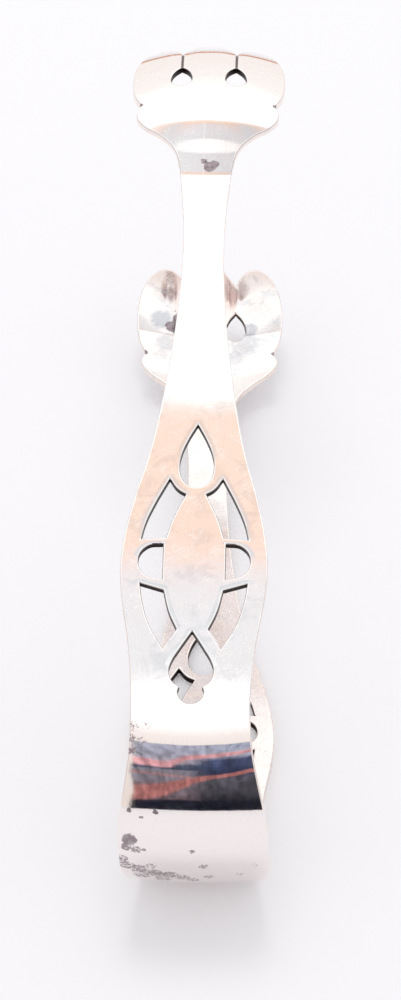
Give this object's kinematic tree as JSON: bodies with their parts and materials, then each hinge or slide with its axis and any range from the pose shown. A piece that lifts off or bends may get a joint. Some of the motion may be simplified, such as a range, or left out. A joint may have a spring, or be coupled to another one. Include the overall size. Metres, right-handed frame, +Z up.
{
  "type": "ice tongs",
  "caption": "Sprung bow tongs in polished silver plate, with pierced tapering arms and lobed cupped claws, lying open on one arm.",
  "frame": {"origin": "centre of the bounding box's base, on the surface that the tongs lie on", "axes": "+Y from the bow to the claws, +X across the strip, +Z up from the surface, through the lower arm to the upper arm"},
  "size_m": [0.0278, 0.1682, 0.0741],
  "materials": {
    "bow_spring": "polished silver plate, fine lengthwise wear marks, tarnish near the fold",
    "lower_arm": "silver plate, pitted and warm-toned inside",
    "lower_claw": "silver plate, smeared grey tarnish in the cup",
    "upper_arm": "polished silver plate, scuffed round the piercings",
    "upper_claw": "polished silver plate"
  },
  "bodies": {
    "lower_half": {"lower_arm": "lower_arm", "lower_claw": "lower_claw", "bow_spring": "bow_spring"},
    "upper_half": {"upper_arm": "upper_arm", "upper_claw": "upper_claw"}
  },
  "joints": [
    {"name": "bow_flex", "type": "hinge", "parent": "lower_half", "child": "upper_half", "pos_m": [0, -0.07634, 0.01795], "axis": [-1, 0, 0], "range_deg": [0, 19.5], "stiffness_Nm_per_rad": 2.5, "springref_deg": -1.15, "deforming": ["bow_spring"]}
  ]
}
